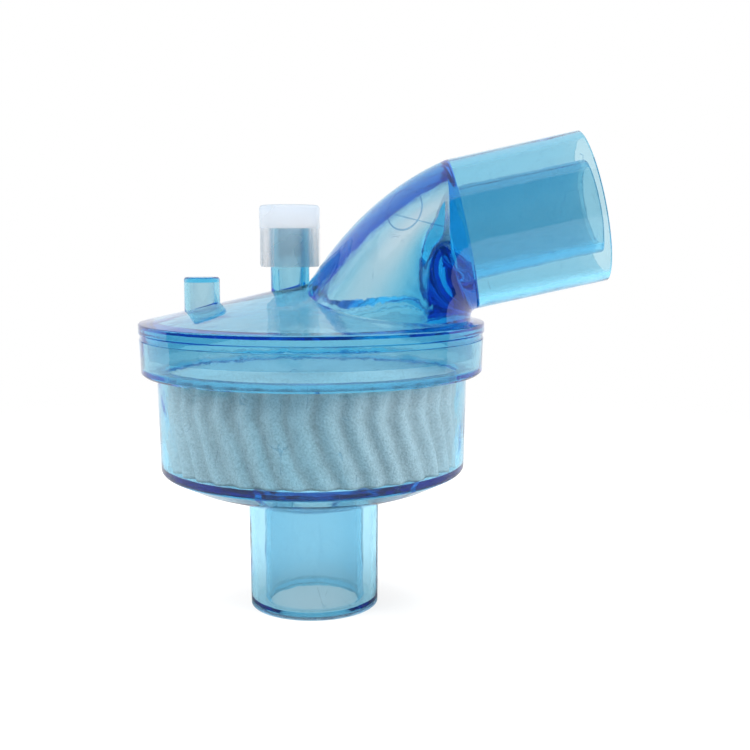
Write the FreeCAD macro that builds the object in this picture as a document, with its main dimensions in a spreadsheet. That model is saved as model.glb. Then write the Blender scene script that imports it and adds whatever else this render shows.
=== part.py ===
import FreeCAD, Part
import math
import os
import re
import Sketcher

# Angled breathing-circuit filter, in millimetres.
# The origin is the centre of the bottom port's mouth, +Z runs up the housing's axis and the
# angled port leans towards +X. Four pieces: a clear lower housing with its straight port, a
# clear upper housing with its hood and angled port, the fluted white medium and a luer cap.

SIZES = {
    # Bottom port: a 22 mm male cone outside and a 15 mm female cone inside
    "port_length": 18.2,
    "port_radius": 11.0,
    "port_wall": 0.95,
    "port_bore": 7.7,
    "port_tube_wall": 0.85,
    "port_lip": 1.3,
    "port_lead_in": 0.6,
    "port_tube_rise": 1.4,
    "cone_taper": 0.0125,
    # Lower shell: a bowl, a drafted cylinder and the wide band round its top
    "shell_wall": 1.2,
    "bowl_knee_reach": 4.8,
    "bowl_knee_drop": 2.4,
    "bowl_round": 9.0,
    "bowl_height": 5.8,
    "shell_height": 16.5,
    "shell_draft": 0.3,
    "shell_corner": 1.0,
    "band_reach": 3.2,
    "band_height": 5.8,
    "band_wall": 1.4,
    "band_chamfer": 0.35,
    "band_draft": 0.2,
    "rib_count": 6,
    "rib_azimuth": 13.5,
    "rib_thickness": 1.0,
    "rib_height": 1.25,
    # Cover: a flat cone whose rim closes the band and whose skirt stands inside it
    "rim_radius": 29.0,
    "rim_height": 2.6,
    "rim_round": 0.3,
    "seam_height": 1.1,
    "seam_depth": 0.25,
    "cover_slope": 12.9,
    "cover_wall": 1.4,
    "skirt_wall": 1.2,
    "skirt_depth": 2.7,
    "skirt_gap": 0.15,
    # Angled port: a 22 mm female socket round a 15 mm male tube
    "socket_centre": 24.9,
    "socket_rise": 14.4,
    "socket_tilt": 12.4,
    "socket_radius": 12.65,
    "socket_length": 22.2,
    "socket_bore": 11.3,
    "socket_floor": 0.5,
    "socket_tube": 7.75,
    "socket_tube_bore": 6.4,
    # Hood: ellipses that turn about the line where the cover and the socket's floor meet
    "hood_foot": 0.6,
    "hood_base_reach": 33.0,
    "hood_base_heel": 0.8,
    "hood_base_half": 19.6,
    "hood_low_reach": 27.9,
    "hood_low_heel": 1.4,
    "hood_low_half": 16.8,
    "hood_high_reach": 26.7,
    "hood_high_heel": 2.3,
    "hood_high_half": 14.2,
    "hood_wall": 1.3,
    "hood_crest_wall": 1.6,
    "hood_core_reach": 22.4,
    # Gas sampling port on the cover and its cap
    "luer_centre": -3.75,
    "luer_height": 64.4,
    "luer_radius": 3.25,
    "luer_bore": 2.15,
    "luer_taper": 0.03,
    "cap_radius": 5.05,
    "cap_height": 10.2,
    "cap_grip": 6.35,
    "cap_round": 0.6,
    "cap_gap": 0.12,
    "cap_plug_length": 4.6,
    "cap_plug_gap": 0.06,
    "cap_rib_count": 9,
    "cap_rib_width": 0.45,
    "cap_rib_depth": 0.2,
    # Blind boss beside it
    "boss_centre": -18.7,
    "boss_radius": 3.0,
    "boss_height": 56.3,
    "boss_wall": 0.9,
    "boss_round": 0.5,
    # Medium: a puck whose wall is pressed into bent flutes
    "medium_height": 15.6,
    "medium_gap": 0.25,
    "flute_count": 37,
    "flute_depth": 0.55,
    "flute_bend": 5.2,
    "flute_upper_turn": 1.5,
    "flute_lower_turn": 10.5,
}

doc = FreeCAD.newDocument("angled_filter")
sheet = doc.addObject("Spreadsheet::Sheet", "sizes")
for row, (word, number) in enumerate(SIZES.items(), 1):
    sheet.set(f"A{row}", word)
    sheet.set(f"B{row}", str(number))
    sheet.setAlias(f"B{row}", word)
doc.recompute()


def size(word):
    """A driving dimension as the sheet holds it."""
    return float(sheet.get(word))


def bound(text):
    """An expression on the sheet's cells: every driving word in the text gets the sheet's name."""
    return re.sub(
        "[a-z_]+", lambda found: f"sizes.{found[0]}" if found[0] in SIZES else found[0], text
    )


# Heights and radii that more than one piece uses, written once as expressions
SHELL_BOTTOM = "port_length + bowl_height"
SHELL_RADIUS = "rim_radius - band_reach"
SHELL_INSIDE = f"{SHELL_RADIUS} - shell_wall"
KNEE_RADIUS = f"{SHELL_RADIUS} - bowl_knee_reach"
KNEE_HEIGHT = f"{SHELL_BOTTOM} - bowl_knee_drop"
BAND_BOTTOM = f"{SHELL_BOTTOM} + shell_height"
SHELF_TOP = f"{BAND_BOTTOM} + shell_wall"
PARTING = f"{BAND_BOTTOM} + band_height"
RIM_TOP = f"{PARTING} + rim_height"
BAND_OUTSIDE = "rim_radius - seam_depth / 2"
BAND_INSIDE = f"{BAND_OUTSIDE} - band_wall"
SKIRT_OUTSIDE = f"{BAND_INSIDE} - skirt_gap"
SKIRT_INSIDE = f"{SKIRT_OUTSIDE} - skirt_wall"
SLOPE = "tan(cover_slope * 1deg)"
CREST = f"{RIM_TOP} + rim_radius * {SLOPE}"
CREST_UNDER = f"{CREST} - cover_wall / cos(cover_slope * 1deg)"
RIB_TOP = f"{SHELL_BOTTOM} + rib_height"
MEDIUM_TOP = f"{RIB_TOP} + medium_height"
TILT = "socket_tilt * 1deg"
SOCKET_HEIGHT = f"{RIM_TOP} + socket_rise"


def outline(sketch, corners):
    """A closed outline of straight edges whose every corner is held by the sheet."""
    last = len(corners)
    for i in range(last):
        here = FreeCAD.Vector(10 + i, 10 + i * i, 0)
        there = FreeCAD.Vector(10 + (i + 1) % last, 10 + ((i + 1) % last) ** 2, 0)
        sketch.addGeometry(Part.LineSegment(here, there), False)
    for i in range(last):
        sketch.addConstraint(Sketcher.Constraint("Coincident", i, 2, (i + 1) % last, 1))
    for i, (across, up) in enumerate(corners):
        for kind, text in (("DistanceX", across), ("DistanceY", up)):
            at = sketch.addConstraint(Sketcher.Constraint(kind, -1, 1, i, 1, 10.0 + i))
            sketch.setExpression(f"Constraints[{at}]", bound(text))
    return sketch


def body(label):
    made = doc.addObject("PartDesign::Body", label)
    made.Label = label
    return made


def plane_sketch(owner, name, role, offset=None):
    """A sketch on one of a body's own origin planes, moved or turned by an offset in that plane."""
    sketch = owner.newObject("Sketcher::SketchObject", name)
    plane = next(f for f in owner.Origin.OriginFeatures if f.Role == role)
    sketch.AttachmentSupport = [(plane, "")]
    sketch.MapMode = "FlatFace"
    if offset:
        sketch.setExpression("AttachmentOffset", bound(offset))
    return sketch


def turned(owner, name, sketch):
    """A full turn of a body's sketch about the sketch's upright axis."""
    feature = owner.newObject("PartDesign::Revolution", name)
    feature.Profile = sketch
    feature.ReferenceAxis = (sketch, ["V_Axis"])
    feature.Angle = 360.0
    sketch.Visibility = False
    return feature


def rings(feature, *places):
    """Names of the circular edges that lie at the given (radius, height) places of a turned shape."""
    names = []
    for number, edge in enumerate(feature.Shape.Edges, 1):
        if not isinstance(edge.Curve, Part.Circle):
            continue
        here = (edge.Curve.Radius, edge.Curve.Center.z)
        if any(math.dist(here, place) < 1e-3 for place in places):
            names.append(f"Edge{number}")
    return names


def rounded(owner, name, base, radius, *places):
    """Fillets the rings of a turned body."""
    feature = owner.newObject("PartDesign::Fillet", name)
    feature.Base = (base, rings(base, *places))
    feature.setExpression("Radius", bound(radius))
    return feature


def worked_out(*texts):
    """The numbers that expressions on the sheet come to, read back from a scratch cell each."""
    numbers = []
    for text in texts:
        sheet.set("D1", f"={text}")
        sheet.recompute()
        numbers.append(float(sheet.get("D1")))
    sheet.clear("D1")
    sheet.recompute()
    return numbers


# Lower housing: port, bowl, shell and band are one turned wall
def lower_housing():
    piece = body("lower_housing")
    taper = "* cone_taper"
    root = f"port_radius + port_length {taper}"
    tube_top = "port_length + port_tube_rise"
    wall = outline(
        plane_sketch(piece, "lower_wall", "XZ_Plane"),
        [
            ("port_bore + port_lead_in", "0"),
            ("port_radius", "0"),
            (root, "port_length"),
            (KNEE_RADIUS, KNEE_HEIGHT),
            (SHELL_RADIUS, SHELL_BOTTOM),
            (f"{SHELL_RADIUS} + shell_draft", BAND_BOTTOM),
            (f"{BAND_OUTSIDE} - band_draft - band_chamfer", BAND_BOTTOM),
            (f"{BAND_OUTSIDE} - band_draft", f"{BAND_BOTTOM} + band_chamfer"),
            (BAND_OUTSIDE, PARTING),
            (BAND_INSIDE, PARTING),
            (BAND_INSIDE, SHELF_TOP),
            (f"{SHELL_INSIDE} + shell_draft", SHELF_TOP),
            (SHELL_INSIDE, f"{SHELL_BOTTOM} + shell_wall"),
            (f"{KNEE_RADIUS} - shell_wall / 4", f"{KNEE_HEIGHT} + shell_wall"),
            (f"{root} - port_wall", "port_length + shell_wall"),
            ("port_radius - port_wall", "port_lip"),
            ("port_bore + port_tube_wall", "port_lip"),
            ("port_bore + port_tube_wall", tube_top),
            (f"port_bore - ({tube_top}) {taper}", tube_top),
            (f"port_bore - port_lead_in {taper}", "port_lead_in"),
        ],
    )
    shell = turned(piece, "lower_turn", wall)
    doc.recompute()

    # Six upright ribs stand on the bowl and carry the medium
    rib = outline(
        plane_sketch(
            piece,
            "rib_side",
            "XZ_Plane",
            "placement(vector(0; 0; 0); rotation(vector(0; 1; 0); rib_azimuth))",
        ),
        [
            (f"{root} - port_wall / 2", "port_length + shell_wall / 2"),
            (KNEE_RADIUS, f"{KNEE_HEIGHT} + shell_wall / 2"),
            (f"{SHELL_RADIUS} - shell_wall / 2", f"{SHELL_BOTTOM} + shell_wall / 2"),
            (f"{SHELL_RADIUS} - shell_wall / 2", RIB_TOP),
            (f"{root} - port_wall / 2", RIB_TOP),
        ],
    )
    pad = piece.newObject("PartDesign::Pad", "rib")
    pad.Profile = rib
    pad.Midplane = True
    pad.setExpression("Length", bound("rib_thickness"))
    rib.Visibility = False
    doc.recompute()
    ribs = piece.newObject("PartDesign::PolarPattern", "ribs")
    ribs.Originals = [pad]
    ribs.Axis = (next(f for f in piece.Origin.OriginFeatures if f.Role == "Z_Axis"), [""])
    ribs.Angle = 360.0
    ribs.setExpression("Occurrences", bound("rib_count"))
    piece.Tip = ribs
    doc.recompute()

    outside, bottom = worked_out(SHELL_RADIUS, SHELL_BOTTOM)
    corner = rounded(piece, "shell_corner", ribs, "shell_corner", (outside, bottom))
    doc.recompute()
    knee = tuple(worked_out(KNEE_RADIUS, KNEE_HEIGHT))
    rounded(piece, "bowl_curve", corner, "bowl_round", knee)
    doc.recompute()
    return piece


# Upper housing: built from turned, lofted and straight solids, then cored
def part_sketch(name, placement):
    sketch = doc.addObject("Sketcher::SketchObject", name)
    sketch.setExpression("Placement", bound(placement))
    sketch.Visibility = False
    return sketch


UPRIGHT = "placement(vector(0; 0; 0); rotation(0; 0; 90))"
SOCKET_PLACE = (
    f"placement(vector(socket_centre; 0; {SOCKET_HEIGHT}); rotation(0; - socket_tilt; 90))"
)


def turned_solid(name, corners):
    """A closed outline in the XZ plane, turned about the housing's axis."""
    sketch = outline(part_sketch(f"{name}_outline", UPRIGHT), corners)
    solid = doc.addObject("Part::Revolution", name)
    solid.Source = sketch
    solid.Axis = FreeCAD.Vector(0, 0, 1)
    solid.Angle = 360.0
    solid.Solid = True
    return solid


def socket_solid(name, corners):
    """A closed outline in the socket's own (along, across) plane, turned about the socket's axis."""
    sketch = outline(part_sketch(f"{name}_outline", SOCKET_PLACE), corners)
    solid = doc.addObject("Part::Revolution", name)
    solid.Source = sketch
    solid.setExpression("Axis.x", bound(f"cos({TILT})"))
    solid.setExpression("Axis.y", "0")
    solid.setExpression("Axis.z", bound(f"sin({TILT})"))
    solid.setExpression("Base.x", bound("socket_centre"))
    solid.setExpression("Base.z", bound(SOCKET_HEIGHT))
    solid.Angle = 360.0
    solid.Solid = True
    return solid


def post(name, across, radius, low, high, top_radius=None):
    """An upright round post on the XZ plane, straight or, with a top radius, tapered."""
    solid = doc.addObject("Part::Cone" if top_radius else "Part::Cylinder", name)
    solid.setExpression("Radius1" if top_radius else "Radius", bound(radius))
    if top_radius:
        solid.setExpression("Radius2", bound(top_radius))
    solid.setExpression("Height", bound(f"{high} - ({low})"))
    solid.setExpression("Placement.Base.x", bound(across))
    solid.setExpression("Placement.Base.z", bound(low))
    return solid


def ring_round(name, base, word, *places):
    """Rounds the circular edges of a plain solid that lie at the given (radius, height) places."""
    doc.recompute()
    round_edge = doc.addObject("Part::Fillet", name)
    round_edge.Base = base
    round_edge.Edges = [(int(edge[4:]), size(word), size(word)) for edge in rings(base, *places)]
    return round_edge


def joined(name, solids):
    whole = doc.addObject("Part::MultiFuse", name)
    whole.Shapes = solids
    return whole


def cut(name, base, tool):
    result = doc.addObject("Part::Cut", name)
    result.Base = base
    result.Tool = tool
    return result


# The hood's sections share one line: where the plane of its foot meets the socket's floor
HOOD_FOOT = f"{RIM_TOP} - hood_foot"
HINGE = f"socket_centre + ({SOCKET_HEIGHT} - ({HOOD_FOOT})) * tan({TILT})"


def ellipse(name, half_width, half_height, across, up, angle):
    """An ellipse across the XZ plane, whose own plane leans back from level by an angle."""
    ring = doc.addObject("Part::Ellipse", name)
    ring.setExpression("MajorRadius", bound(half_width))
    ring.setExpression("MinorRadius", bound(half_height))
    place = f"placement(vector({across}; 0; {up}); rotation(90; 0; {angle}))"
    ring.setExpression("Placement", bound(place))
    ring.Visibility = False
    return ring


def hinged_ellipse(name, reach, heel, half_width, angle):
    """An ellipse in a plane through the hinge line, from its heel to its reach along that plane."""
    middle = f"(({reach}) + ({heel})) / 2"
    return ellipse(
        name,
        half_width,
        f"(({reach}) - ({heel})) / 2",
        f"{HINGE} - {middle} * cos({angle} * 1deg)",
        f"{HOOD_FOOT} + {middle} * sin({angle} * 1deg)",
        angle,
    )


def loft(name, sections):
    solid = doc.addObject("Part::Loft", name)
    solid.Sections = sections
    solid.Solid = True
    return solid


def hood_lofts():
    """The hood's outside, and the core drawn down out of it, whose wall to the socket is upright."""
    outside, inside = [], []
    for step, level in enumerate(("base", "low", "high")):
        angle = f"(90 - socket_tilt) * {step} / 3"
        reach, heel, half = (f"hood_{level}_{word}" for word in ("reach", "heel", "half"))
        outside.append(hinged_ellipse(f"hood_{level}", reach, heel, half, angle))
        core_heel = f"({HINGE} - hood_core_reach) / cos({angle} * 1deg)"
        inside.append(
            hinged_ellipse(
                f"core_{level}",
                f"{reach} - hood_crest_wall",
                core_heel,
                f"{half} - hood_wall",
                angle,
            )
        )
    neck = ("socket_radius", "socket_radius", "socket_centre", SOCKET_HEIGHT, "90 - socket_tilt")
    outside.append(ellipse("hood_neck", *neck))
    core_top = f"({SOCKET_HEIGHT} + socket_radius * cos({TILT}) - hood_crest_wall)"
    core_low = f"({HOOD_FOOT} + ({HINGE} - hood_core_reach) * tan((90 - socket_tilt) * 2deg / 3))"
    inside.append(
        ellipse(
            "core_end",
            "socket_radius - hood_wall",
            f"({core_top} - {core_low}) / 2 - hood_foot",
            "hood_core_reach",
            f"({core_top} + {core_low}) / 2 + hood_foot / 2",
            "90",
        )
    )
    return loft("hood", outside), loft("hood_core", inside)


def upper_housing():
    cover = turned_solid(
        "cover",
        [
            ("0", CREST_UNDER),
            ("0", CREST),
            ("rim_radius", RIM_TOP),
            ("rim_radius", f"{PARTING} + seam_height"),
            ("rim_radius - seam_depth", f"{PARTING} + seam_height - seam_depth"),
            ("rim_radius - seam_depth", PARTING),
            (SKIRT_OUTSIDE, PARTING),
            (SKIRT_OUTSIDE, f"{PARTING} - skirt_depth"),
            (SKIRT_INSIDE, f"{PARTING} - skirt_depth"),
            (SKIRT_INSIDE, f"{CREST_UNDER} - ({SKIRT_INSIDE}) * {SLOPE}"),
        ],
    )
    chamber = turned_solid(
        "chamber",
        [
            ("0", f"{PARTING} - skirt_depth"),
            ("0", CREST_UNDER),
            (SKIRT_INSIDE, f"{CREST_UNDER} - ({SKIRT_INSIDE}) * {SLOPE}"),
            (SKIRT_INSIDE, f"{PARTING} - skirt_depth"),
        ],
    )
    hood, core = hood_lofts()
    socket = socket_solid(
        "socket",
        [
            ("0", "0"),
            ("0", "socket_radius"),
            ("socket_length", "socket_radius"),
            ("socket_length", "0"),
        ],
    )
    luer = post("luer_post", "luer_centre", "luer_radius", PARTING, "luer_height")
    boss = post("boss_post", "boss_centre", "boss_radius", PARTING, "boss_height")
    rim_top = worked_out(RIM_TOP)[0]
    cover_rounded = ring_round("cover_rounded", cover, "rim_round", (size("rim_radius"), rim_top))
    boss_top = ring_round(
        "boss_rounded", boss, "boss_round", (size("boss_radius"), size("boss_height"))
    )

    # The gap between socket and tube keeps the floor, and the tube narrows to its mouth
    gap = socket_solid(
        "socket_gap",
        [
            ("socket_floor", "socket_tube + (socket_length - socket_floor) * cone_taper"),
            ("socket_floor", "socket_bore - (socket_length - socket_floor) * cone_taper"),
            ("socket_length + 1", "socket_bore + cone_taper"),
            ("socket_length + 1", "socket_tube - cone_taper"),
        ],
    )
    bore = doc.addObject("Part::Cylinder", "socket_core")
    bore.setExpression("Radius", bound("socket_tube_bore"))
    bore.setExpression("Height", bound("socket_length + socket_radius"))
    bore.setExpression(
        "Placement",
        bound(
            f"placement(vector(socket_centre - socket_radius / 2 * cos({TILT}); 0; "
            f"{SOCKET_HEIGHT} - socket_radius / 2 * sin({TILT})); "
            f"rotation(0; 90 - socket_tilt; 0))"
        ),
    )

    luer_core = post(
        "luer_core",
        "luer_centre",
        f"luer_bore - (luer_height - ({PARTING})) * luer_taper",
        PARTING,
        "luer_height",
        top_radius="luer_bore",
    )
    boss_core = post(
        "boss_core", "boss_centre", "boss_radius - boss_wall", PARTING, "boss_height - boss_wall"
    )
    piece = joined("upper_solid", [cover_rounded, hood, socket, luer, boss_top])
    for tool in (core, chamber, bore, gap, luer_core):
        piece = cut(f"upper_less_{tool.Name}", piece, tool)
    piece = cut("upper_housing", piece, boss_core)
    piece.Label = "upper_housing"
    doc.recompute()
    return piece


# Medium: a puck whose side is pressed into flutes that bend a third of the way down
def flute_ring(height, turn):
    """One closed wavy ring: an arc out over each crest and an arc in through each valley."""
    count = int(size("flute_count"))
    outside = worked_out(SHELL_INSIDE)[0] - size("medium_gap")
    middle = outside - size("flute_depth") / 2
    step = 2 * math.pi / count

    def at(radius, share):
        angle = math.radians(turn) + share * step
        return FreeCAD.Vector(radius * math.cos(angle), radius * math.sin(angle), height)

    edges = []
    for i in range(count):
        crest = Part.Arc(at(middle, i), at(outside, i + 0.25), at(middle, i + 0.5))
        valley = Part.Arc(
            at(middle, i + 0.5), at(outside - size("flute_depth"), i + 0.75), at(middle, i + 1)
        )
        edges += [crest.toShape(), valley.toShape()]
    return Part.Wire(edges)


def filter_medium():
    low, high = worked_out(RIB_TOP, MEDIUM_TOP)
    bend = high - size("flute_bend")
    upper = flute_ring(high, size("flute_upper_turn"))
    middle = flute_ring(bend, 0.0)
    lower = flute_ring(low, size("flute_lower_turn"))
    piece = doc.addObject("Part::Feature", "filter_medium")
    piece.Label = "filter_medium"
    piece.Shape = Part.makeLoft([upper, middle, lower], True, True)
    return piece


# Luer cap: a ribbed grip over the port with a plug in its bore
def luer_cap():
    piece = body("luer_cap")
    bottom = "luer_height - cap_grip"
    top = f"{bottom} + cap_height"
    plug_tip = "luer_height - cap_plug_length"
    skirt = "cap_radius - cap_rib_depth"
    wall = outline(
        plane_sketch(piece, "cap_wall", "XZ_Plane"),
        [
            ("0", plug_tip),
            ("0", top),
            ("cap_radius", top),
            ("cap_radius", "luer_height"),
            (skirt, "luer_height"),
            (skirt, bottom),
            ("luer_radius + cap_gap", bottom),
            ("luer_radius + cap_gap", "luer_height"),
            ("luer_bore - cap_plug_gap", "luer_height"),
            ("luer_bore - cap_plug_gap - cap_plug_length * luer_taper", plug_tip),
        ],
    )
    turn = turned(piece, "cap_turn", wall)
    doc.recompute()
    rib = outline(
        plane_sketch(piece, "cap_rib_side", "XZ_Plane"),
        [
            (f"{skirt} - cap_rib_depth", bottom),
            ("cap_radius", f"{bottom} + cap_rib_depth"),
            ("cap_radius", "luer_height + cap_rib_depth"),
            (f"{skirt} - cap_rib_depth", "luer_height + cap_rib_depth"),
        ],
    )
    pad = piece.newObject("PartDesign::Pad", "cap_rib")
    pad.Profile = rib
    pad.Midplane = True
    pad.setExpression("Length", bound("cap_rib_width"))
    rib.Visibility = False
    doc.recompute()
    ribs = piece.newObject("PartDesign::PolarPattern", "cap_ribs")
    ribs.Originals = [pad]
    ribs.Axis = (next(f for f in piece.Origin.OriginFeatures if f.Role == "Z_Axis"), [""])
    ribs.Angle = 360.0
    ribs.setExpression("Occurrences", bound("cap_rib_count"))
    piece.Tip = ribs
    doc.recompute()
    crown = worked_out(top)[0]
    rounded(piece, "cap_edge", ribs, "cap_round", (size("cap_radius"), crown))
    piece.setExpression("Placement.Base.x", bound("luer_centre"))
    doc.recompute()
    return piece


pieces = [lower_housing(), upper_housing(), filter_medium(), luer_cap()]
doc.recompute()

for item in doc.Objects:
    if "Invalid" in item.State or "Error" in item.State:
        raise RuntimeError(f"{item.Name} could not be made: {item.State}")
for piece in pieces:
    if piece.Shape.isNull() or not piece.Shape.isValid() or len(piece.Shape.Solids) != 1:
        raise RuntimeError(f"{piece.Label} is not one valid solid")

os.makedirs("parts", exist_ok=True)
for piece in pieces:
    piece.Shape.exportStep(f"parts/{piece.Label}.step")
    box = piece.Shape.BoundBox
    print(
        f"{piece.Label}: volume {piece.Shape.Volume:.1f} mm3,"
        f" x {box.XMin:.2f} to {box.XMax:.2f}, y {box.YMin:.2f} to {box.YMax:.2f},"
        f" z {box.ZMin:.2f} to {box.ZMax:.2f}"
    )
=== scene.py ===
# %% [markdown]
# # A clear blue breathing filter
# The part is a two-piece housing of see-through blue plastic. A white fluted
# filter medium sits inside it, a wide elbow carries a socket to one side, and
# a small sampling port wears a milky cap. The solids come from a CAD model,
# so their places are fixed. This lesson gives them their finishes, adds the
# fine things that a mould and a paper machine leave behind, and opens a
# hairline gap at the weld.

import math

import bmesh
import bpy
from mathutils import Matrix, Vector, noise


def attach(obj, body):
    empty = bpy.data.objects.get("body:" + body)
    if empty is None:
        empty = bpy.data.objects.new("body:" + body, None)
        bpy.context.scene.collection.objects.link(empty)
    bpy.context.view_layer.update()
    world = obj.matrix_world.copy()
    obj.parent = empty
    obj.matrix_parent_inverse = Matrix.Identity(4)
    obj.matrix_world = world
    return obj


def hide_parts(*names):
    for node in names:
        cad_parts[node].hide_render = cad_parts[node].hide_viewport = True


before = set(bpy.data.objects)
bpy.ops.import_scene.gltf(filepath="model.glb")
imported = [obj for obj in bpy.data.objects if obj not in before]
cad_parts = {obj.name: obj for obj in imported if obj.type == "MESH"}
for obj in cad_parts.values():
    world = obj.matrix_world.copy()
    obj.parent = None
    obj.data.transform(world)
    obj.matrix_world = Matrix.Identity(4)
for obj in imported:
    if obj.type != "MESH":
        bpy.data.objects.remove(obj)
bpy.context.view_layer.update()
MM = 0.001

# %% [markdown]
# ## Where the camera stands
# The picture was taken from about the height of the rim, from a hand's
# length away, so the rim is seen almost edge on and the mouth of the lower
# port from above. A camera is an object that looks along its own -Z. It could
# be turned by three angles, but `to_track_quat` makes the rotation from the
# direction itself. The lens is given in millimetres against the width of the
# sensor.

# %% Camera at the photograph's angle
CAMERA_PLACE = Vector((0.01237, -0.17758, 0.06274))
CAMERA_AIM = Vector((0.01059, -0.00108, 0.03974))
LENS = 50.33
SENSOR_WIDTH = 36.0
NEAREST, FARTHEST = 0.005, 20.0


def put_in_scene(name, data):
    item = bpy.data.objects.new(name, data)
    bpy.context.scene.collection.objects.link(item)
    return item


def aim_from(item, place):
    item.location = place
    item.rotation_mode = "QUATERNION"
    item.rotation_quaternion = (CAMERA_AIM - Vector(place)).to_track_quat("-Z", "Y")


camera_data = bpy.data.cameras.new("picture_camera")
camera_data.lens = LENS
camera_data.sensor_width = SENSOR_WIDTH
camera_data.clip_start = NEAREST
camera_data.clip_end = FARTHEST
camera = put_in_scene("picture_camera", camera_data)
aim_from(camera, CAMERA_PLACE)
bpy.context.scene.camera = camera
print("camera to part:", round((CAMERA_AIM - CAMERA_PLACE).length / MM), "mm")

# %% [markdown]
# ## A small kit for writing materials
# Every material below is a node tree. It could be wired by hand in the
# editor, but written out it can be read and changed. `add_node` makes one
# node and fills in its values, and `wire` joins two sockets.

# %% Helpers for node trees
def add_node(tree, kind, values=None, **settings):
    node = tree.nodes.new(kind)
    for name, value in settings.items():
        setattr(node, name, value)
    for name, value in (values or {}).items():
        node.inputs[name].default_value = value
    return node


def wire(tree, source, target):
    return tree.links.new(source, target)


def new_material(name):
    material = bpy.data.materials.new(name)
    material.use_nodes = True
    material.node_tree.nodes.clear()
    return material


print("helpers ready")

# %% [markdown]
# ## Sums, mixes and endings
# Four small things come back in every tree: a sum of two values, a mix of
# two shaders, a grey given as a colour, and the output node. `math_node`
# takes a number or a socket on either side, so a formula reads almost like
# arithmetic.

# %% Helpers for sums, mixes and endings
def math_node(tree, operation, first, second):
    node = add_node(tree, "ShaderNodeMath", operation=operation)
    for place, value in enumerate((first, second)):
        if isinstance(value, (int, float)):
            node.inputs[place].default_value = value
        else:
            wire(tree, value, node.inputs[place])
    return node.outputs[0]


def shader_mix(tree, amount, first, second):
    node = add_node(tree, "ShaderNodeMixShader")
    wire(tree, amount, node.inputs["Fac"])
    wire(tree, first, node.inputs[1])
    wire(tree, second, node.inputs[2])
    return node.outputs[0]


def grey(level):
    return (level, level, level, 1)


def end_tree(tree, surface, volume=None, kind="ShaderNodeOutputMaterial"):
    end = add_node(tree, kind)
    wire(tree, surface, end.inputs["Surface"])
    if volume:
        wire(tree, volume, end.inputs["Volume"])


print("sums, mixes and endings ready")

# %% [markdown]
# ## Light for something clear
# Clear plastic shows what stands behind it, so it is lit by its background.
# A white world that the camera sees, straight, mirrored or through plastic,
# gives bright walls, and the edges turn navy by themselves, where a ray
# travels a long way inside the material. That white is only for looking at.
# Once a ray has bounced off something dull, it meets a dimmer world, so the
# background doesn't wash out the white felt and the floor. A node group makes
# that choice for the world and the floor alike. The Light Path node itself
# stays in each of them, because an export can't read it inside a group.

# %% Choice between looking and lighting
def looking_group():
    tree = bpy.data.node_groups.new("only_looked_at", "ShaderNodeTree")
    for name in ("Camera", "Mirror", "Through", "Dull Bounces"):
        tree.interface.new_socket(name=name, in_out="INPUT", socket_type="NodeSocketFloat")
    tree.interface.new_socket(name="Looking", in_out="OUTPUT", socket_type="NodeSocketFloat")
    ray = add_node(tree, "NodeGroupInput").outputs
    seen = math_node(tree, "MAXIMUM", ray["Camera"], ray["Mirror"])
    seen = math_node(tree, "MAXIMUM", seen, ray["Through"])
    not_dulled = math_node(tree, "LESS_THAN", ray["Dull Bounces"], 0.5)
    finish = add_node(tree, "NodeGroupOutput")
    wire(tree, math_node(tree, "MULTIPLY", seen, not_dulled), finish.inputs["Looking"])
    return tree


looking = looking_group()


def looked_at(tree, mirrors=True):
    rays = add_node(tree, "ShaderNodeLightPath")
    choice = add_node(tree, "ShaderNodeGroup", node_tree=looking)
    wire(tree, rays.outputs["Is Camera Ray"], choice.inputs["Camera"])
    if mirrors:
        wire(tree, rays.outputs["Is Glossy Ray"], choice.inputs["Mirror"])
    wire(tree, rays.outputs["Is Transmission Ray"], choice.inputs["Through"])
    wire(tree, rays.outputs["Diffuse Depth"], choice.inputs["Dull Bounces"])
    return choice.outputs["Looking"]


print("choice group nodes:", len(looking.nodes))

# %% [markdown]
# ## The white world
# The part stands before plain white. Stronger lamps on a backdrop would do
# it too, but they would also light the part, and its colour would clip. So
# the world is a mix of two plain whites: full strength for rays that look at
# it, and a share of that for rays that only light things.

# %% World
WORLD_LIGHT = 0.6

world = bpy.data.worlds.new("white_studio")
world.use_nodes = True
bpy.context.scene.world = world
tree = world.node_tree
tree.nodes.clear()
dim = add_node(tree, "ShaderNodeBackground", {"Color": grey(1), "Strength": WORLD_LIGHT})
white = add_node(tree, "ShaderNodeBackground", {"Color": grey(1), "Strength": 1.0})
end_tree(tree, shader_mix(tree, looked_at(tree), dim.outputs[0], white.outputs[0]),
         kind="ShaderNodeOutputWorld")
bpy.context.scene.view_settings.view_transform = "Standard"
print("world light:", WORLD_LIGHT)

# %% [markdown]
# ## Soft lamps
# Three soft boxes, left, right and above, shape the white things: the felt,
# the cap and the floor. Glowing planes could stand for them, but an area lamp
# is sampled on purpose and leaves less grain. A lamp that is mirrored in a
# clear wall, or seen through one, is a hard white band, so the lamps are
# hidden from those two kinds of ray.

# %% Soft lamps
LAMPS = {
    "key_softbox": ((-0.38, -0.18, 0.32), 0.26, 3.0),
    "fill_softbox": ((0.40, -0.18, 0.20), 0.26, 2.6),
    "top_softbox": ((0.02, 0.12, 0.46), 0.34, 3.4),
}

for lamp_name, (lamp_place, lamp_size, lamp_power) in LAMPS.items():
    lamp_data = bpy.data.lights.new(lamp_name, "AREA")
    lamp_data.shape = "SQUARE"
    lamp_data.size = lamp_size
    lamp_data.energy = lamp_power
    lamp = put_in_scene(lamp_name, lamp_data)
    aim_from(lamp, lamp_place)
    lamp.visible_glossy = False
    lamp.visible_transmission = False
print("lamps:", len(LAMPS))

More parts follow.
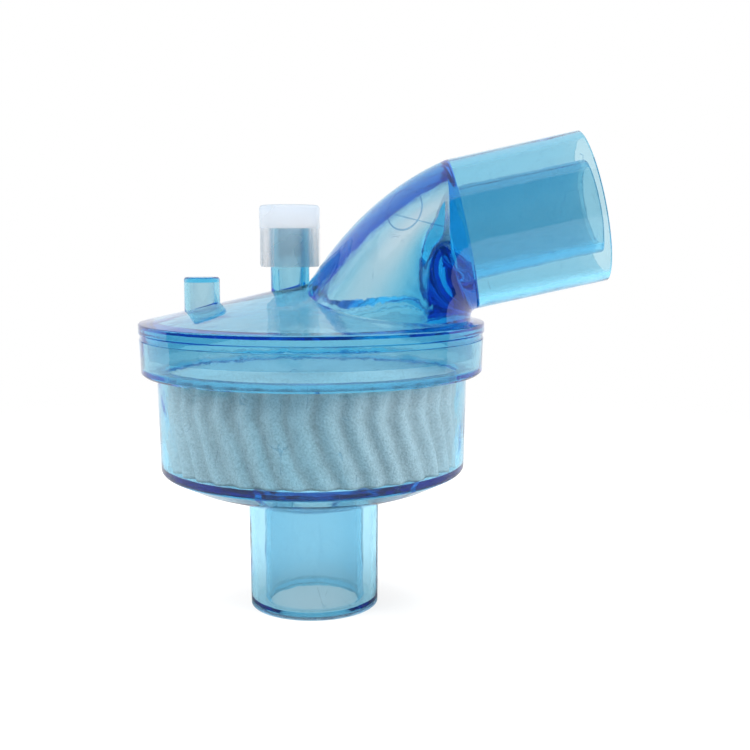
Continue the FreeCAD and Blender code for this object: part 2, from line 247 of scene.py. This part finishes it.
# %% [markdown]
# ## A dark card round the front
# In a studio the room behind the photographer is dark, and clear plastic
# needs that: against a white reflection it has no colour of its own. A flat
# card would leave the sides of the round walls white, so one upright edge is
# spun round the part into a curved card. It belongs to the stage, not to the
# part.

# %% Dark card: one edge, spun
CARD_DISTANCE = 0.56
CARD_ARC = math.radians(200)
CARD_STEPS = 32
CARD_HEIGHT = 0.95
CARD_FOOT = -0.05

card_mesh = bpy.data.meshes.new("dark_card")
shape = bmesh.new()
first = shape.verts.new((CARD_DISTANCE, 0.0, CARD_FOOT))
last = shape.verts.new((CARD_DISTANCE, 0.0, CARD_HEIGHT + CARD_FOOT))
upright = shape.edges.new((first, last))
bmesh.ops.spin(shape, geom=[first, last, upright], cent=(0, 0, 0), axis=(0, 0, 1),
               angle=CARD_ARC, steps=CARD_STEPS, use_duplicate=False)
bmesh.ops.rotate(shape, verts=list(shape.verts), cent=(0, 0, 0),
                 matrix=Matrix.Rotation(-math.pi / 2 - CARD_ARC / 2, 3, "Z"))
shape.to_mesh(card_mesh)
shape.free()
card = put_in_scene("dark_card", card_mesh)
print("card faces:", len(card_mesh.polygons), "height:", CARD_HEIGHT, "m")

# %% [markdown]
# ## Who sees the card
# Only mirrors do. The camera, rays through plastic and shadow rays pass it,
# or it would darken views from the back. A ray that only lights things finds
# it open as well, by the same choice as the world's, so it takes no light
# away.

# %% Dark card's paint
CARD_SHADE = 0.05

card_paint = new_material("card_dark")
tree = card_paint.node_tree
matt = add_node(tree, "ShaderNodeBsdfDiffuse", {"Color": grey(CARD_SHADE)})
open_air = add_node(tree, "ShaderNodeBsdfTransparent")
end_tree(tree, shader_mix(tree, looked_at(tree), open_air.outputs[0], matt.outputs[0]))
card.visible_camera = False
card.visible_transmission = False
card.visible_shadow = False
card_mesh.materials.append(card_paint)
print("card shade:", CARD_SHADE)

# %% [markdown]
# ## The floor
# The part stands on a plain white floor. A large plane would end in a
# horizon, so the floor is a disc, and its paint turns clear towards the edge.

# %% Floor disc
FLOOR_RADIUS = 0.24
FLOOR_SIDES = 96

floor_mesh = bpy.data.meshes.new("floor")
shape = bmesh.new()
bmesh.ops.create_circle(shape, cap_ends=True, segments=FLOOR_SIDES, radius=FLOOR_RADIUS)
shape.to_mesh(floor_mesh)
shape.free()
floor = put_in_scene("floor", floor_mesh)
print("floor radius:", FLOOR_RADIUS, "m")

# %% [markdown]
# ## The floor's paint
# Under a clear part the shadow is pale. Dull paint alone would make it too
# dark, so a share of the floor's white is only looked at, like the world's.
# The rest is dull paint, which takes the shadow. Mirrors don't get that
# share, or the underside of the part would glow.

# %% Floor's paint with a soft rim
FLOOR_FADE = 0.17
FLOOR_WHITE = 0.32
FLOOR_LIFT = 0.66

floor_paint = new_material("floor_white")
tree = floor_paint.node_tree
place = add_node(tree, "ShaderNodeTexCoord")
reach = add_node(tree, "ShaderNodeVectorMath", operation="LENGTH")
wire(tree, place.outputs["Object"], reach.inputs[0])
fade = add_node(tree, "ShaderNodeMapRange", {
    "From Min": FLOOR_RADIUS - FLOOR_FADE, "From Max": FLOOR_RADIUS,
    "To Min": 0.0, "To Max": 1.0}, interpolation_type="SMOOTHSTEP")
wire(tree, reach.outputs["Value"], fade.inputs["Value"])
matt = add_node(tree, "ShaderNodeBsdfDiffuse", {"Color": grey(FLOOR_WHITE)})
lift = add_node(tree, "ShaderNodeEmission", {"Color": grey(1)})
wire(tree, math_node(tree, "MULTIPLY", looked_at(tree, mirrors=False), FLOOR_LIFT),
     lift.inputs["Strength"])
lit = add_node(tree, "ShaderNodeAddShader")
wire(tree, matt.outputs[0], lit.inputs[0])
wire(tree, lift.outputs[0], lit.inputs[1])
nothing = add_node(tree, "ShaderNodeBsdfTransparent")
end_tree(tree, shader_mix(tree, fade.outputs["Result"], lit.outputs[0], nothing.outputs[0]))
floor_mesh.materials.append(floor_paint)
print("floor white:", FLOOR_WHITE, "lift:", FLOOR_LIFT)

# %% [markdown]
# ## Marks that a mould leaves
# A moulded wall is never quite flat. It has slow waves from cooling, fine
# ripples, and hairline scratches where it was drawn off the steel. They could
# be modelled, but they are so shallow that they show only by how they bend
# the light, so they are a height in the material. Noise textures give all
# three. A hairline is the place where a noise crosses one half, which is a
# thin curved line, and a second noise breaks it into pieces.

# %% Waves and hairlines
WAVE_SCALE = 110.0
RIPPLE_SCALE = 800.0
RIPPLE_SHARE = 0.06
HAIRLINE_SCALE = 160.0
HAIRLINE_WIDTH = 0.0013
DRAWN_OUT = (1.0, 1.0, 0.35)
BREAK_SCALE = 420.0
BREAK_LEVEL = 0.56


def noise_node(tree, vector, scale, detail=2.0):
    node = add_node(tree, "ShaderNodeTexNoise", {"Scale": scale, "Detail": detail})
    wire(tree, vector, node.inputs["Vector"])
    return node.outputs["Fac"]


def within(tree, value, width):
    return math_node(tree, "LESS_THAN", math_node(tree, "ABSOLUTE", value, 0.0), width)


def hairlines(tree, place):
    drawn = add_node(tree, "ShaderNodeVectorMath", {1: DRAWN_OUT}, operation="MULTIPLY")
    wire(tree, place, drawn.inputs[0])
    field = noise_node(tree, drawn.outputs[0], HAIRLINE_SCALE, 0.0)
    line = within(tree, math_node(tree, "SUBTRACT", field, 0.5), HAIRLINE_WIDTH)
    kept = math_node(tree, "GREATER_THAN", noise_node(tree, place, BREAK_SCALE), BREAK_LEVEL)
    return math_node(tree, "MULTIPLY", line, kept)


print("wave every", round(1.0 / WAVE_SCALE / MM, 1), "mm, ripple every",
      round(1.0 / RIPPLE_SCALE / MM, 2), "mm")

# %% [markdown]
# ## The pin's ring and the split line
# A pin pushes the warm housing out of its mould, and its round end leaves a
# thin ring on the hood. Beside it runs the short line where two halves of the
# mould met. The ring is drawn by distance: the place is moved to the ring's
# middle, turned by the slope of the hood and divided by the ring's size, and
# then the ring is all that lies at a distance of one. The split line is a
# straight line in X and Z, and both show on the front only.

# %% Ring and line
PIN_PLACE = (0.0154, 0.0, 0.0673)
PIN_SIZE = (0.0026, 1.0, 0.0034)
PIN_LEAN = math.radians(-22)
PIN_LINE = 0.028
SPLIT_START = (0.00895, 0.06762)
SPLIT_END = 0.0215
SPLIT_FALL = 0.252
SPLIT_WIDTH = 0.05 * MM


def pin_ring(tree, place):
    away = add_node(tree, "ShaderNodeVectorMath", {1: PIN_PLACE}, operation="SUBTRACT")
    wire(tree, place, away.inputs[0])
    leaning = add_node(tree, "ShaderNodeVectorRotate", {"Axis": (0, 1, 0), "Angle": PIN_LEAN},
                       rotation_type="AXIS_ANGLE")
    wire(tree, away.outputs[0], leaning.inputs["Vector"])
    share = add_node(tree, "ShaderNodeVectorMath", {1: PIN_SIZE}, operation="DIVIDE")
    wire(tree, leaning.outputs[0], share.inputs[0])
    ring = add_node(tree, "ShaderNodeVectorMath", operation="LENGTH")
    wire(tree, share.outputs[0], ring.inputs[0])
    return within(tree, math_node(tree, "SUBTRACT", ring.outputs["Value"], 1.0), PIN_LINE)


def split_line(tree, across, height):
    past_start = math_node(tree, "SUBTRACT", across, SPLIT_START[0])
    fall = math_node(tree, "MULTIPLY", past_start, SPLIT_FALL)
    above = math_node(tree, "ADD", math_node(tree, "SUBTRACT", height, SPLIT_START[1]), fall)
    after_start = math_node(tree, "GREATER_THAN", across, SPLIT_START[0])
    before_end = math_node(tree, "LESS_THAN", across, SPLIT_END)
    along = math_node(tree, "MULTIPLY", after_start, before_end)
    return math_node(tree, "MULTIPLY", within(tree, above, SPLIT_WIDTH), along)


print("pin ring:", [round(2 * PIN_SIZE[axis] / MM, 1) for axis in (0, 2)], "mm across")

# %% [markdown]
# ## One group for every moulded surface
# The housing and the cap both come out of moulds, so their marks are one node
# group, built once and placed in each material. It takes a place and gives a
# height for a Bump node, a roughness that follows the waves, and a colour in
# which marks are darker, since scratched plastic lets less light through.

# %% The moulded surface group
HAIRLINE_DEPTH = 0.8
HAIRLINE_DARK = 0.6
WAVE_RANGE = (0.35, 0.75)
SHINE_RANGE = (0.02, 0.07)
WALL_LOSS = (0.88, 0.86, 0.875, 1.0)
LINE_LOSS = (0.30, 0.50, 0.66, 1.0)


def colour_mix(tree, amount, first, second, **settings):
    node = add_node(tree, "ShaderNodeMix", data_type="RGBA", **settings)
    wire(tree, amount, node.inputs[0])
    for place, value in ((6, first), (7, second)):
        if isinstance(value, tuple):
            node.inputs[place].default_value = value
        else:
            wire(tree, value, node.inputs[place])
    return node.outputs[2]


def moulded_group():
    tree = bpy.data.node_groups.new("moulded_surface", "ShaderNodeTree")
    for name, way, kind in (("Place", "INPUT", "Vector"), ("Height", "OUTPUT", "Float"),
                            ("Roughness", "OUTPUT", "Float"), ("Colour", "OUTPUT", "Color")):
        tree.interface.new_socket(name=name, in_out=way, socket_type=f"NodeSocket{kind}")
    place = add_node(tree, "NodeGroupInput").outputs["Place"]
    axes = add_node(tree, "ShaderNodeSeparateXYZ")
    wire(tree, place, axes.inputs[0])
    waves = noise_node(tree, place, WAVE_SCALE)
    ripples = math_node(tree, "MULTIPLY", noise_node(tree, place, RIPPLE_SCALE, 3.0),
                        RIPPLE_SHARE)
    scratches = hairlines(tree, place)
    drawn_lines = math_node(tree, "MAXIMUM", pin_ring(tree, place),
                            split_line(tree, axes.outputs["X"], axes.outputs["Z"]))
    front = math_node(tree, "LESS_THAN", axes.outputs["Y"], 0.0)
    witness = math_node(tree, "MULTIPLY", drawn_lines, front)
    level = math_node(tree, "ADD", waves, ripples)
    level = math_node(tree, "SUBTRACT", level,
                      math_node(tree, "MULTIPLY", scratches, HAIRLINE_DEPTH))
    level = math_node(tree, "ADD", level, witness)
    line = math_node(tree, "MAXIMUM", witness,
                     math_node(tree, "MULTIPLY", scratches, HAIRLINE_DARK))
    shine = add_node(tree, "ShaderNodeMapRange", {
        "From Min": WAVE_RANGE[0], "From Max": WAVE_RANGE[1],
        "To Min": SHINE_RANGE[0], "To Max": SHINE_RANGE[1]})
    wire(tree, waves, shine.inputs["Value"])
    finish = add_node(tree, "NodeGroupOutput")
    wire(tree, level, finish.inputs["Height"])
    wire(tree, shine.outputs["Result"], finish.inputs["Roughness"])
    wire(tree, colour_mix(tree, line, WALL_LOSS, LINE_LOSS), finish.inputs["Colour"])
    return tree


moulded = moulded_group()
print("moulded surface nodes:", len(moulded.nodes))

# %% [markdown]
# ## What both plastics share
# Each plastic gets the mould's marks as a bump. Each also has to let the
# lamps in. A lamp lights the felt by shadow rays, and clear plastic stops
# those, so the felt would stay dark. Finding the light by chance, as
# caustics, would take far too many samples. Instead a Transparent shader
# takes over for shadow rays only, with a tint for what the wall keeps back.

# %% Marks and shadow rays
UNEVEN = 0.15 * MM


def mark_skin(tree, skin, strength):
    place = add_node(tree, "ShaderNodeTexCoord").outputs["Object"]
    marks = add_node(tree, "ShaderNodeGroup", node_tree=moulded)
    wire(tree, place, marks.inputs["Place"])
    uneven = add_node(tree, "ShaderNodeBump", {"Strength": strength, "Distance": UNEVEN})
    wire(tree, marks.outputs["Height"], uneven.inputs["Height"])
    wire(tree, uneven.outputs["Normal"], skin.inputs["Normal"])
    return place, marks


def shadow_rays_pass(tree, skin, loss):
    passing = add_node(tree, "ShaderNodeBsdfTransparent", {"Color": loss})
    rays = add_node(tree, "ShaderNodeLightPath")
    return shader_mix(tree, rays.outputs["Is Shadow Ray"], skin.outputs["BSDF"],
                      passing.outputs[0])


print("bump height:", UNEVEN / MM, "mm")

# %% [markdown]
# ## Clear blue plastic
# The housing is moulded from a clear plastic with blue dye in the melt. A
# blue base colour would tint every wall alike, but the real colour grows with
# the depth of plastic that light crosses: a wall of one millimetre is pale
# and an edge is navy. A Volume Absorption node does this. It takes more red
# than green, and more green than blue, and its density was tuned until walls
# of the solids' thickness looked right. A thin blue scatter is the haze that
# keeps deep edges from going black.

# %% Dye, haze and surface
PLASTIC_IOR = 1.53
DYE_DENSITY = 400.0
DYE_COLOUR = (0.05, 0.775, 0.952, 1.0)
HAZE = 8.0
HAZE_COLOUR = (0.1, 0.5, 1.0, 1.0)
SHADOW_LOSS = (1.0, 0.80, 0.77, 1.0)

blue_plastic = new_material("clear_blue_plastic_finish")
tree = blue_plastic.node_tree
skin = add_node(tree, "ShaderNodeBsdfPrincipled", {
    "IOR": PLASTIC_IOR, "Transmission Weight": 1.0})
place, marks = mark_skin(tree, skin, 1.0)
wire(tree, marks.outputs["Roughness"], skin.inputs["Roughness"])
wire(tree, marks.outputs["Colour"], skin.inputs["Base Color"])
dye = add_node(tree, "ShaderNodeVolumeAbsorption",
               {"Color": DYE_COLOUR, "Density": DYE_DENSITY})
haze = add_node(tree, "ShaderNodeVolumeScatter", {"Color": HAZE_COLOUR, "Density": HAZE})
inside = add_node(tree, "ShaderNodeAddShader")
wire(tree, dye.outputs["Volume"], inside.inputs[0])
wire(tree, haze.outputs["Volume"], inside.inputs[1])
end_tree(tree, shadow_rays_pass(tree, skin, SHADOW_LOSS), inside.outputs[0])
for node in ("lower_housing", "upper_housing"):
    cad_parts[node].data.materials[0] = blue_plastic
print("dye density:", DYE_DENSITY)

# %% [markdown]
# ## A gap for the weld
# The cover is welded on the lower housing, and both solids end in the same
# plane there. Two clear walls that share a plane have no air between them and
# no single inside either, and rays get lost in such a plane as black arcs. A
# copy of the lower housing stands in for it, with the rings that touch the
# cover lowered by a twentieth of a millimetre. The camera can't see that gap,
# but light now passes from plastic to air and back as it should.

# %% Lower housing, lowered at the weld
WELD_GAP = 0.05 * MM
WELD_REACH = 0.01 * MM

cad_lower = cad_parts["lower_housing"]
weld_mesh = cad_lower.data.copy()
weld_level = max((cad_lower.matrix_world @ vert.co).z for vert in weld_mesh.vertices)
lowered = 0
for vert in weld_mesh.vertices:
    if (cad_lower.matrix_world @ vert.co).z > weld_level - WELD_REACH:
        vert.co.z -= WELD_GAP
        lowered += 1
lower_shell = put_in_scene("lower_shell", weld_mesh)
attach(lower_shell, "housing")
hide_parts("lower_housing")
print("lowered at the weld:", lowered, "corners at", round(weld_level / MM, 2), "mm")

# %% [markdown]
# ## How the medium is fluted
# The real medium is a strip of white felt paper, pressed into flutes and
# wound up into a puck. They lean a little one way near the top and much more
# the other way below, like a row of arrows. The number all round is judged
# from the ones on the near side. A bump could draw the flutes, but their
# outline shows at the sides, so they are real. Three small functions say
# where the surface is: the lean at a height, the wave round the puck, and
# the radius that follows. Noise makes each flute wander a little.

# %% The flutes as a formula
MEDIUM_LOW = 0.02525
MEDIUM_HIGH = 0.04085
MEDIUM_RADIUS = 0.02438
FLUTES = 37
FLUTE_DEPTH = 0.00085
FLUTE_BEND = 0.0052
FLUTE_SHARPNESS = 1.3
UPPER_LEAN = math.radians(-1.5)
LOWER_LEAN = math.radians(9.0)
FLUTE_START = math.radians(2.0)
WANDER, WANDER_SCALE, WANDER_STRETCH = 0.22, 2.4, 60
SWELL_SCALE, SWELL_STRETCH = 3, 90
SHALLOWEST, SWELL = 0.7, 0.5


def flute_lean(height):
    below_top = MEDIUM_HIGH - height
    upper = min(below_top, FLUTE_BEND) / FLUTE_BEND
    lower = max(below_top - FLUTE_BEND, 0.0) / (MEDIUM_HIGH - MEDIUM_LOW - FLUTE_BEND)
    return UPPER_LEAN * upper + LOWER_LEAN * lower


def flute_wave(turn, height):
    spot = Vector((math.cos(turn), math.sin(turn), height * WANDER_STRETCH)) * WANDER_SCALE
    wander = WANDER * noise.noise(spot)
    phase = (turn - FLUTE_START - flute_lean(height)) * FLUTES / math.tau + wander
    return (0.5 + 0.5 * math.cos(math.tau * phase)) ** FLUTE_SHARPNESS


def felt_radius(turn, height):
    spot = Vector((math.cos(turn) * SWELL_SCALE, math.sin(turn) * SWELL_SCALE,
                   height * SWELL_STRETCH))
    swell = 0.5 + 0.5 * noise.noise(spot)
    return MEDIUM_RADIUS - FLUTE_DEPTH * flute_wave(turn, height) * (SHALLOWEST + SWELL * swell)


print("one flute every", round(math.tau * MEDIUM_RADIUS / FLUTES / MM, 1), "mm")

# %% [markdown]
# ## Rings for the side
# One ring of edges is extruded upwards again and again. Each new ring is laid
# on the radius that the formula gives for its height, which pushes it in and
# out by the flutes and turns it by their lean.

# %% The fluted side
STEPS_ROUND = FLUTES * 10
STEPS_UP = 34


def ring_of(verts, radius_at, height_at):
    for vert in verts:
        turn = math.atan2(vert.co.y, vert.co.x)
        radius = radius_at(turn)
        vert.co = (radius * math.cos(turn), radius * math.sin(turn), height_at(turn))


def next_ring(mesh, edges):
    grown = bmesh.ops.extrude_edge_only(mesh, edges=edges)["geom"]
    return ([part for part in grown if isinstance(part, bmesh.types.BMVert)],
            [part for part in grown if isinstance(part, bmesh.types.BMEdge)])


felt_mesh = bmesh.new()
bmesh.ops.create_circle(felt_mesh, cap_ends=False, segments=STEPS_ROUND, radius=MEDIUM_RADIUS)
first_edges = list(felt_mesh.edges)
ring_of(list(felt_mesh.verts), lambda turn: felt_radius(turn, MEDIUM_LOW),
        lambda turn: MEDIUM_LOW)
ring_edges = first_edges
for step in range(1, STEPS_UP + 1):
    level = MEDIUM_LOW + (MEDIUM_HIGH - MEDIUM_LOW) * step / STEPS_UP
    verts, ring_edges = next_ring(felt_mesh, ring_edges)
    ring_of(verts, lambda turn: felt_radius(turn, level), lambda turn: level)
print("rings up the side:", STEPS_UP + 1)

# %% [markdown]
# ## Rings over the ends
# The same rings run on inwards over both ends, where they rise and dip with
# the turns of the wound strip, until a small hole is left in the middle and
# filled. The closed shape then has its faces turned outwards.

# %% Both ends
STEPS_IN = 26
TURN_PITCH = 0.0019
TURN_DEPTH = 0.00045

for end_edges, level, way in ((ring_edges, MEDIUM_HIGH, -1.0), (first_edges, MEDIUM_LOW, 1.0)):
    rim_edges = end_edges
    for step in range(1, STEPS_IN + 1):
        inward = MEDIUM_RADIUS * (1.0 - step / (STEPS_IN + 2.0))
        wound = math.tau * (MEDIUM_RADIUS - inward) / TURN_PITCH
        dip = TURN_DEPTH * (0.5 - 0.5 * math.cos(wound))
        verts, rim_edges = next_ring(felt_mesh, rim_edges)
        ring_of(verts, lambda turn: inward - FLUTE_DEPTH * flute_wave(turn, level),
                lambda turn: level + way * dip)
    bmesh.ops.holes_fill(felt_mesh, edges=rim_edges, sides=0)
bmesh.ops.recalc_face_normals(felt_mesh, faces=list(felt_mesh.faces))
for face in felt_mesh.faces:
    face.smooth = True
felt_data = bpy.data.meshes.new("fluted_felt")
felt_mesh.to_mesh(felt_data)
felt_mesh.free()
felt_piece = put_in_scene("fluted_felt", felt_data)
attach(felt_piece, "housing")
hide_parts("filter_medium")
print("felt faces:", len(felt_data.polygons))

# %% [markdown]
# ## The felt's white
# Felt paper is white with a fine grain and slow clouds. Two noises, one far
# finer than the other, are added and stretched between two whites.

# %% Grain and clouds
GRAIN_SCALE = 3000.0
CLOUDS_SCALE = 260.0
GRAIN_SHARE, CLOUDS_SHARE = 0.75, 0.25
FELT_DULL = (0.70, 0.68, 0.67, 1)
FELT_BRIGHT = (1.0, 0.97, 0.96, 1)

white_felt = new_material("white_felt")
tree = white_felt.node_tree
where = add_node(tree, "ShaderNodeTexCoord").outputs["Object"]
grain = add_node(tree, "ShaderNodeTexNoise", {
    "Scale": GRAIN_SCALE, "Detail": 2.0, "Roughness": 0.6})
wire(tree, where, grain.inputs["Vector"])
clouds = noise_node(tree, where, CLOUDS_SCALE, 3.0)
blend = math_node(tree, "ADD", math_node(tree, "MULTIPLY", grain.outputs["Fac"], GRAIN_SHARE),
                  math_node(tree, "MULTIPLY", clouds, CLOUDS_SHARE))
spread = add_node(tree, "ShaderNodeMapRange", {"From Min": 0.36, "From Max": 0.60})
wire(tree, blend, spread.inputs["Value"])
shades = colour_mix(tree, spread.outputs["Result"], FELT_DULL, FELT_BRIGHT)
print("grain every", round(1.0 / GRAIN_SCALE / MM, 2), "mm")

# %% [markdown]
# ## Valleys and the top end
# Less light gets into a valley than onto a ridge, and the upper end is lit
# only through the blue cover. The render gives too little of either, since
# its shadow rays pass the plastic lightly. So shade is painted into the
# valleys by their distance from the axis, and the cover's blue light is
# painted onto the upper end by its height.

# %% Felt's painted shade, painted light and surface
VALLEY_SHADE = 0.78
END_SHADE_DEPTH = 0.6 * MM
END_PAINTED_LIGHT = (0.62, 0.88, 0.96, 1.0)
FELT_BUMP = 0.2 * MM

flat = add_node(tree, "ShaderNodeVectorMath", {1: (1, 1, 0)}, operation="MULTIPLY")
wire(tree, where, flat.inputs[0])
from_axis = add_node(tree, "ShaderNodeVectorMath", operation="LENGTH")
wire(tree, flat.outputs["Vector"], from_axis.inputs[0])
# Painted shade: the valleys are darkened by their distance from the axis.
valley = add_node(tree, "ShaderNodeMapRange", {
    "From Min": MEDIUM_RADIUS - FLUTE_DEPTH, "From Max": MEDIUM_RADIUS,
    "To Min": VALLEY_SHADE, "To Max": 1.0})
wire(tree, from_axis.outputs["Value"], valley.inputs["Value"])
shaded = add_node(tree, "ShaderNodeVectorMath", operation="SCALE")
wire(tree, shades, shaded.inputs[0])
wire(tree, valley.outputs["Result"], shaded.inputs["Scale"])
heights = add_node(tree, "ShaderNodeSeparateXYZ")
wire(tree, where, heights.inputs[0])
# Painted light: the upper end is tinted for the blue light that comes through the cover.
on_end = math_node(tree, "GREATER_THAN", heights.outputs["Z"], MEDIUM_HIGH - END_SHADE_DEPTH)
painted_cover_light = colour_mix(tree, on_end, shaded.outputs["Vector"], END_PAINTED_LIGHT,
                         blend_type="MULTIPLY")
raised = add_node(tree, "ShaderNodeBump", {"Strength": 0.8, "Distance": FELT_BUMP})
wire(tree, grain.outputs["Fac"], raised.inputs["Height"])
felt = add_node(tree, "ShaderNodeBsdfPrincipled", {"Roughness": 0.95})
wire(tree, painted_cover_light, felt.inputs["Base Color"])
wire(tree, raised.outputs["Normal"], felt.inputs["Normal"])
end_tree(tree, felt.outputs["BSDF"])
felt_data.materials.append(white_felt)
print("felt nodes:", len(tree.nodes))

# %% [markdown]
# ## The milky cap
# The cap of the sampling port is made of a softer plastic without dye. Tiny
# crystals in it scatter the light, so it is milky, and the blue tube still
# shows through its skirt. White paint would hide the tube. So the cap is
# clear, with light scattered inside by a Volume Scatter. It is rougher than
# the housing, carries the mould's marks more softly, and a noise lets its
# tone drift, because such plastic is never evenly milky.

# %% Milk, tone and surface
MILK = 150.0
MILK_COLOUR = (0.56, 0.68, 0.79, 1.0)
CAP_SHADOW_LOSS = (0.36, 0.44, 0.53, 1.0)
CAP_IOR = 1.5
CAP_ROUGHNESS = 0.23
CAP_MARKS = 0.15
CAP_TONES = ((0.84, 0.89, 0.93, 1.0), (0.96, 0.98, 1.0, 1.0))
TONE_SCALE = 420.0

milky = new_material("milky_plastic")
tree = milky.node_tree
skin = add_node(tree, "ShaderNodeBsdfPrincipled", {"IOR": CAP_IOR, "Transmission Weight": 1.0})
place, marks = mark_skin(tree, skin, CAP_MARKS)
wire(tree, math_node(tree, "ADD", marks.outputs["Roughness"], CAP_ROUGHNESS),
     skin.inputs["Roughness"])
wire(tree, colour_mix(tree, noise_node(tree, place, TONE_SCALE), *CAP_TONES),
     skin.inputs["Base Color"])
milk = add_node(tree, "ShaderNodeVolumeScatter", {"Color": MILK_COLOUR, "Density": MILK})
end_tree(tree, shadow_rays_pass(tree, skin, CAP_SHADOW_LOSS), milk.outputs["Volume"])
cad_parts["luer_cap"].data.materials[0] = milky
print("milk density:", MILK)

# %% [markdown]
# ## How far a ray may go
# One look through the socket crosses many walls, and each wall has two
# surfaces. A ray that is cut off too soon comes back black, so rays through
# plastic may cross 32 surfaces. Scattering inside the milk costs more time
# for each step, so three steps have to do.

# %% Bounces
SURFACE_BOUNCES = 32
MIRROR_BOUNCES = 16
MILK_BOUNCES = 3

cycles = bpy.context.scene.cycles
cycles.max_bounces = SURFACE_BOUNCES
cycles.transmission_bounces = SURFACE_BOUNCES
cycles.glossy_bounces = MIRROR_BOUNCES
cycles.volume_bounces = MILK_BOUNCES
print("surfaces a ray may cross:", SURFACE_BOUNCES)
